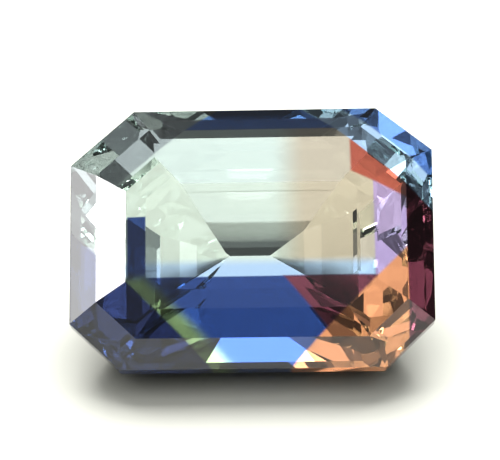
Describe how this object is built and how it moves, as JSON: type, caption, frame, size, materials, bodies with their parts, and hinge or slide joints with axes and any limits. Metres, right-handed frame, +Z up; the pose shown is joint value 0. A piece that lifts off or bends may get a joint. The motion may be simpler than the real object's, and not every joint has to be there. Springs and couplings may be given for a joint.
{
  "type": "step-cut parti-coloured sapphire",
  "caption": "Faceted step-cut gemstone with cut corners, clear with blue and orange zones, lying on one flat pavilion facet.",
  "frame": {"origin": "centre of the bounding box at the level of the facet that the stone lies on", "axes": "+Z up, away from the facet that the stone lies on; the stone's length runs along X; the table leans towards -Y, the front"},
  "size_m": [0.01, 0.0062, 0.006],
  "materials": {
    "sapphire": "polished"
  },
  "bodies": {
    "root": {"sapphire": "sapphire"}
  },
  "joints": []
}
